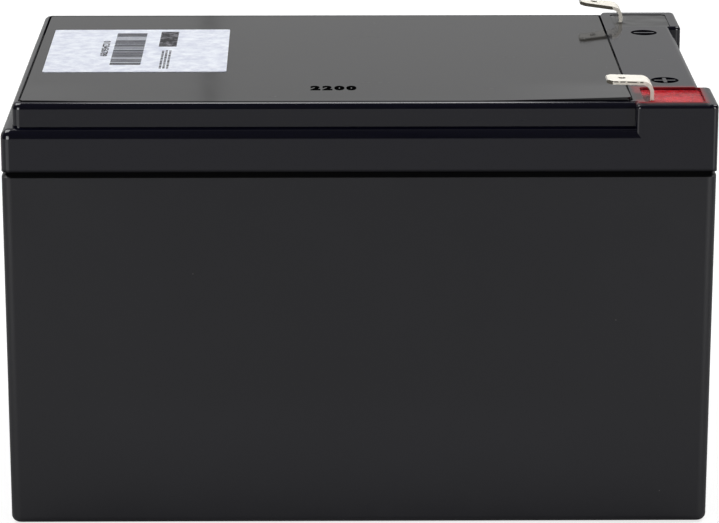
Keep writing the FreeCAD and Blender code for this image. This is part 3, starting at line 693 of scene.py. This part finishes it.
# %% [markdown]
# ## A film of resin round the red well
#
# Wiping off spilled resin leaves a thin red film on the cover round the well, strongest at the
# edge and gone after two millimetres. It was wiped towards the tab, so it reaches further on
# that side, and it leaves the narrow lip in front matt and dark. The film is part of the
# cover's own finish: the distance to the well's outline, broken up by noise, mixes red into the
# black and lowers its gloss, and in front of the well it takes most of the gloss away.

# %% Red film on the cover
RIM_DEPTH = 0.7
RIM_BLEND = 0.3
FILM_GLOSS = 0.3
FILM_SMEAR = 0.8
LIP_FADE = (0.2, 1.4)


def film_round(material, well_node, film_colour, reach, wiped, dullness, lip_gloss):
    """Tints a finish round a well; reach and wiped, its shift along X, are in millimetres."""
    tree = material.node_tree
    low, high = (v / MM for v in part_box(well_node))
    rim_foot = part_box("cover")[1].z / MM - RIM_DEPTH
    place = add(tree, "SeparateXYZ", {0: add(tree, "TexCoord").outputs["Object"]})
    sides = []
    for axis, middle, half in (("X", (low.x + high.x) / 2 + wiped, (high.x - low.x) / 2),
                               ("Y", (low.y + high.y) / 2, (high.y - low.y) / 2)):
        off = add(tree, "Math", {0: place.outputs[axis], 1: middle * MM}, operation="SUBTRACT")
        off = add(tree, "Math", {0: off.outputs[0]}, operation="ABSOLUTE")
        sides.append(add(tree, "Math", {0: off.outputs[0], 1: half * MM}, operation="SUBTRACT"))
    away = add(tree, "Math", {0: sides[0].outputs[0], 1: sides[1].outputs[0]},
               operation="MAXIMUM")
    smear = add(tree, "TexNoise", {"Vector": add(tree, "TexCoord").outputs["Object"],
                                   "Scale": per_mm(1.6), "Detail": 3.0})
    away = add(tree, "Math", {0: smear.outputs["Fac"], 1: FILM_SMEAR * MM, 2: away.outputs[0]},
               operation="MULTIPLY_ADD")
    film = add(tree, "MapRange", {0: away.outputs[0], 1: FILM_SMEAR * MM, 2: reach * MM,
                                  3: 1.0, 4: 0.0}, interpolation_type="SMOOTHSTEP")
    on_top = add(tree, "MapRange", {0: place.outputs["Z"], 1: rim_foot * MM,
                                    2: (rim_foot + RIM_BLEND) * MM})
    film = add(tree, "Math", {0: film.outputs[0], 1: on_top.outputs[0]}, operation="MULTIPLY")
    surface = next(n for n in tree.nodes if n.type == "BSDF_PRINCIPLED")
    tinted = add(tree, "Mix", {0: film.outputs[0], 6: before(surface, "Base Color"),
                               7: linear(film_colour)}, data_type="RGBA")
    ahead = add(tree, "Math", {0: place.outputs["Y"], 1: low.y * MM}, operation="LESS_THAN")
    beside = add(tree, "MapRange", {0: sides[0].outputs[0], 1: LIP_FADE[0] * MM,
                                    2: LIP_FADE[1] * MM, 3: 1.0, 4: 0.0})
    dull = add(tree, "Math", {0: beside.outputs[0], 1: ahead.outputs[0]}, operation="MULTIPLY")
    dull = add(tree, "Math", {0: dull.outputs[0], 1: on_top.outputs[0]}, operation="MULTIPLY")
    dulled = add(tree, "Math", {0: dull.outputs[0], 1: dullness, 2: before(surface, "Roughness")},
                 operation="MULTIPLY_ADD")
    filmed = add(tree, "MapRange", {0: film.outputs[0], 3: before(surface, "Specular IOR Level"),
                                    4: FILM_GLOSS})
    sheen = add(tree, "MapRange", {0: dull.outputs[0], 3: filmed.outputs[0], 4: lip_gloss})
    tree.links.new(tinted.outputs[2], surface.inputs["Base Color"])
    tree.links.new(dulled.outputs[0], surface.inputs["Roughness"])
    tree.links.new(sheen.outputs[0], surface.inputs["Specular IOR Level"])
    print("film round", well_node, "reaches", reach, "mm")


film_round(gloss_abs, "positive_terminal_epoxy", "#7c1a20", 2.1, -0.5, 0.35, 0.12)

# %% [markdown]
# ## The paper label
#
# The label is coated white paper. Coating makes it a little glossy and slightly blue, and
# leaves faint cloudiness from the fibres below, a few millimetres across.

# %% Coated paper
label_paper, place = start_material("coated_label_paper")
tree = label_paper.node_tree
fibres = add(tree, "TexNoise", {"Vector": place, "Scale": per_mm(2.4), "Detail": 6.0,
                                "Roughness": 0.7})
clouds = add(tree, "MapRange", {0: fibres.outputs["Fac"], 1: 0.36, 2: 0.64})
paper = add(tree, "Mix", {0: clouds.outputs[0], 6: linear("#cdd1e0"), 7: linear("#ecf0f7")},
            data_type="RGBA")
tooth = add(tree, "TexNoise", {"Vector": place, "Scale": per_mm(0.3), "Detail": 3.0})
relief = add(tree, "Bump", {"Strength": 0.5, "Distance": 0.008 * MM,
                            "Height": tooth.outputs["Fac"]})
coating = add(tree, "MapRange", {0: fibres.outputs["Fac"], 1: 0.3, 2: 0.7, 3: 0.40, 4: 0.52})
surface = add(tree, "BsdfPrincipled", {"Base Color": paper.outputs[2], "IOR": 1.48,
                                       "Roughness": coating.outputs[0],
                                       "Normal": relief.outputs[0]})
add(tree, "OutputMaterial", {"Surface": surface.outputs[0]})
dress(label_paper, "label")

# %% [markdown]
# ## Printing on the label
#
# The label was printed by a small thermal printer and turned a quarter when it was stuck on:
# a block of bars with a line of figures under it, a dark field and a few lines of small
# print. Only generic marks stand here. Each one is a wafer of ink that stands two hundredths
# of a millimetre out of the paper, whose height is found by looking straight down onto it.
# Thermal ink is patchy and matt, so a fine noise lets it look thin in places, and it reflects
# less than the paper does.

# %% Lay ink on a surface
INK_THICKNESS = 0.02


def surface_finder(node):
    """A function that gives the height of a node's top at a point, in millimetres."""
    tree = tree_of(node)

    def height(x, y):
        hit = tree.ray_cast(Vector((x, y, 150.0)) * MM, Vector((0, 0, -1)))[0]
        return hit.z / MM
    return height


def ink_blocks(name, height_at, fields, material):
    """One object of thin rectangles, each given as x0, x1, y0, y1 in millimetres."""
    points, faces = [], []
    for x0, x1, y0, y1 in fields:
        first = len(points)
        base = height_at((x0 + x1) / 2, (y0 + y1) / 2)
        for z in (base - INK_THICKNESS, base + INK_THICKNESS):
            points += [(x * MM, y * MM, z * MM) for x, y in ((x0, y0), (x1, y0), (x1, y1), (x0, y1))]
        faces += [tuple(first + k for k in face) for face in
                  ((3, 2, 1, 0), (4, 5, 6, 7), (0, 1, 5, 4), (1, 2, 6, 5), (2, 3, 7, 6),
                   (3, 0, 4, 7))]
    mesh = bpy.data.meshes.new(name)
    mesh.from_pydata(points, [], faces)
    mesh.materials.append(material)
    print_object = bpy.data.objects.new(name, mesh)
    bpy.context.collection.objects.link(print_object)
    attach(print_object, "root")
    print(name, "has", len(fields), "fields")
    return print_object


def thermal_ink(name, colour, worn_colour, worn, gloss, patch_mm=0.5):
    """Ink that covers unevenly; worn is the share of it that looks thin."""
    material, place = start_material(name)
    tree = material.node_tree
    speckle = add(tree, "TexNoise", {"Vector": place, "Scale": per_mm(patch_mm), "Detail": 4.0,
                                     "Roughness": 0.7})
    thin = add(tree, "MapRange", {0: speckle.outputs["Fac"], 1: 0.65 - 0.3 * worn,
                                  2: 0.85 - 0.3 * worn})
    colour = add(tree, "Mix", {0: thin.outputs[0], 6: linear(colour), 7: linear(worn_colour)},
                 data_type="RGBA")
    surface = add(tree, "BsdfPrincipled", {"Base Color": colour.outputs[2], "Roughness": 0.55,
                                           "Specular IOR Level": gloss})
    add(tree, "OutputMaterial", {"Surface": surface.outputs[0]})
    return material


grey_ink = thermal_ink("thermal_print_grey", "#1b1a1f", "#4b4a52", 0.4, 0.25)
small_ink = thermal_ink("thermal_print_small", "#1a191d", "#3c3b40", 0.35, 0.25)
dark_ink = thermal_ink("thermal_print_dark", "#1f1e22", "#8a8990", 0.55, 0.25, 1.4)
print("ink stands out by", INK_THICKNESS, "mm")

# %% [markdown]
# ## The bars and the dark field
#
# The bars run across the label, each one to three modules wide, with gaps of one or two. Ink
# spreads a little, so every bar is a touch wider than its modules. A seeded draw picks the
# widths, so they are the same each time. The dark field is plain, apart from its worn patches.

# %% Bars and field
label_top = surface_finder("label")
BARS_X = (-54.7, -47.9)
BARS_Y = (-9.4, 25.2)
BAR_MODULE = 0.33
BAR_SPREAD = 0.05
DARK_FIELD = (-44.7, -40.7, 9.8, 26.0)
draw = random.Random(12)
bars = []
y = BARS_Y[0]
while y < BARS_Y[1] - 3 * BAR_MODULE:
    bar = BAR_MODULE * draw.choice((1, 1, 2, 2, 3))
    bars.append((*BARS_X, y, y + bar + BAR_SPREAD))
    y += bar + BAR_MODULE * draw.choice((1, 1, 2))
ink_blocks("label_bars", label_top, bars, grey_ink)
ink_blocks("label_dark_field", label_top, [DARK_FIELD], dark_ink)

# %% [markdown]
# ## The small print
#
# Three lines of small print can't be read at this size, so each is a row of dashes of three
# lengths, as long as short words.

# %% The small print as dashes
dashes = []
SMALL_PRINT_ROWS = (-43.7, -42.9, -42.1)
SMALL_PRINT_Y = (-13.1, 6.3)
SMALL_PRINT_HEIGHT = 0.5
DASH_LENGTHS = (0.5, 0.9, 1.4)
DASH_GAP = 0.45
LEAST_ROOM = 0.6
for row_x in SMALL_PRINT_ROWS:
    y = SMALL_PRINT_Y[0]
    while y < SMALL_PRINT_Y[1] - LEAST_ROOM:
        dash = draw.choice(DASH_LENGTHS)
        dashes.append((row_x, row_x + SMALL_PRINT_HEIGHT, y, min(y + dash, SMALL_PRINT_Y[1])))
        y += dash + DASH_GAP
ink_blocks("label_small_print", label_top, dashes, grey_ink)

# %% [markdown]
# ## Figures: under the bars and stamped on the plate
#
# Two rows of plain figures: a small line under the bars, and four bold ones that an ink-jet
# head put on the vent plate. Blender's own text object draws them; it is turned into a mesh
# with a little thickness, so that it behaves like the other ink.

# %% Rows of figures
FIGURES_PLACE = (-56.6, 7.8)
FIGURES_SIZE = (1.7, 16.2)
STAMP_PLACE = (-5.4, -32.35)
STAMP_SIZE = (4.4, 9.9)


def ink_figures(name, body, height_at, place, tall, wide, turn, bold, spacing, material):
    """Figures whose row is centred on place and is tall by wide millimetres."""
    text = bpy.data.curves.new(name, "FONT")
    text.body = body
    text.offset = bold
    text.space_character = spacing
    text.extrude = 0.5
    text.resolution_u = 3
    drawing = bpy.data.objects.new(name + "_drawing", text)
    bpy.context.collection.objects.link(drawing)
    depsgraph = bpy.context.evaluated_depsgraph_get()
    mesh = bpy.data.meshes.new_from_object(drawing.evaluated_get(depsgraph))
    bpy.data.objects.remove(drawing)
    corners = [[pick(v.co[k] for v in mesh.vertices) for k in range(3)] for pick in (min, max)]
    low, high = (Vector(c) for c in corners)
    x, y = place
    scale = Matrix.Diagonal((wide * MM / (high.x - low.x), tall * MM / (high.y - low.y),
                             2 * INK_THICKNESS * MM, 1.0))
    mesh.transform(Matrix.Translation((x * MM, y * MM, height_at(x, y) * MM))
                   @ Matrix.Rotation(math.radians(turn), 4, "Z") @ scale
                   @ Matrix.Translation(-(low + high) / 2))
    mesh.materials.clear()
    mesh.materials.append(material)
    figures = bpy.data.objects.new(name, mesh)
    bpy.context.collection.objects.link(figures)
    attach(figures, "root")
    print(name, "has", len(mesh.polygons), "faces")
    return figures


plate_top = surface_finder("vent_plate")
stamp_ink = thermal_ink("stamp_ink_black", "#040404", "#101011", 0.2, 0.0)
ink_figures("label_figures", "0123456789", label_top, FIGURES_PLACE, *FIGURES_SIZE,
            -90.0, 0.03, 1.0, small_ink)
ink_figures("plate_stamp", "2200", plate_top, STAMP_PLACE, *STAMP_SIZE, 0.0, 0.08, 1.4,
            stamp_ink)

# %% [markdown]
# ## Inside the battery
#
# Nothing inside shows from outside, but a cut-open view should still be right. Cast lead has
# a dull bloom, the positive plates are brown lead dioxide pressed into a cast grid, the
# negative ones spongy grey lead, and the glass mat is a felt of white fibres. Rubber is soft
# and matt, and the cured bead in the cover joint is glossy and dark. They share one recipe:
# two colours mixed by a noise with a real size, a roughness, and a relief; the plates add
# the ribs of their grid.

# %% Finishes of the inner pieces
def inner_finish(name, colours, roughness, metallic, noise_mm, relief_mm, rib_mm=0.0):
    """Two mottled colours over a fine relief; rib_mm is how far apart the grid's ribs stand."""
    material, place = start_material(name)
    tree = material.node_tree
    mottle = add(tree, "TexNoise", {"Vector": place, "Scale": per_mm(noise_mm), "Detail": 5.0,
                                    "Roughness": 0.65})
    colour = add(tree, "Mix", {0: mottle.outputs["Fac"], 6: linear(colours[0]),
                               7: linear(colours[1])}, data_type="RGBA")
    relief = add(tree, "Bump", {"Strength": 0.7, "Distance": relief_mm * MM,
                                "Height": mottle.outputs["Fac"]})
    if rib_mm:
        for axis in ("Y", "Z"):
            ribs = add(tree, "TexWave", {"Vector": place, "Scale": per_mm(rib_mm) / math.tau},
                       wave_type="BANDS", bands_direction=axis, wave_profile="SIN")
            relief = add(tree, "Bump", {"Strength": 0.5, "Distance": 0.3 * MM,
                                        "Height": ribs.outputs["Fac"],
                                        "Normal": relief.outputs[0]})
    shine = add(tree, "MapRange", {0: mottle.outputs["Fac"], 1: 0.3, 2: 0.7,
                                   3: roughness - 0.06, 4: roughness + 0.06})
    surface = add(tree, "BsdfPrincipled", {"Base Color": colour.outputs[2], "Metallic": metallic,
                                           "Roughness": shine.outputs[0],
                                           "Normal": relief.outputs[0]})
    add(tree, "OutputMaterial", {"Surface": surface.outputs[0]})
    return material


def names_with(start):
    """The CAD nodes whose names start this way."""
    return [name for name in nodes if name.startswith(start)]


dress(inner_finish("lead_dioxide_paste", ("#3d281e", "#5a3e2c"), 0.8, 0.0, 1.2, 0.08, 6.0),
      *names_with("positive_plates"))
dress(inner_finish("spongy_lead", ("#66686b", "#8a8c90"), 0.7, 0.3, 1.2, 0.08, 6.0),
      *names_with("negative_plates"))
dress(inner_finish("absorbent_glass_mat", ("#e0ddd2", "#f4f2ea"), 0.9, 0.0, 0.4, 0.10),
      *names_with("glass_mat"))
dress(inner_finish("cast_lead", ("#5d5f63", "#7d7f84"), 0.5, 1.0, 1.5, 0.04),
      "positive_post", "negative_post")
dress(inner_finish("moulded_rubber", ("#161616", "#202020"), 0.6, 0.0, 0.8, 0.02),
      "positive_seal_ring", "negative_seal_ring", *names_with("valve_cap"))
dress(inner_finish("joint_epoxy_bead", ("#101011", "#1a1a1b"), 0.25, 0.0, 2.0, 0.03),
      "joint_adhesive")
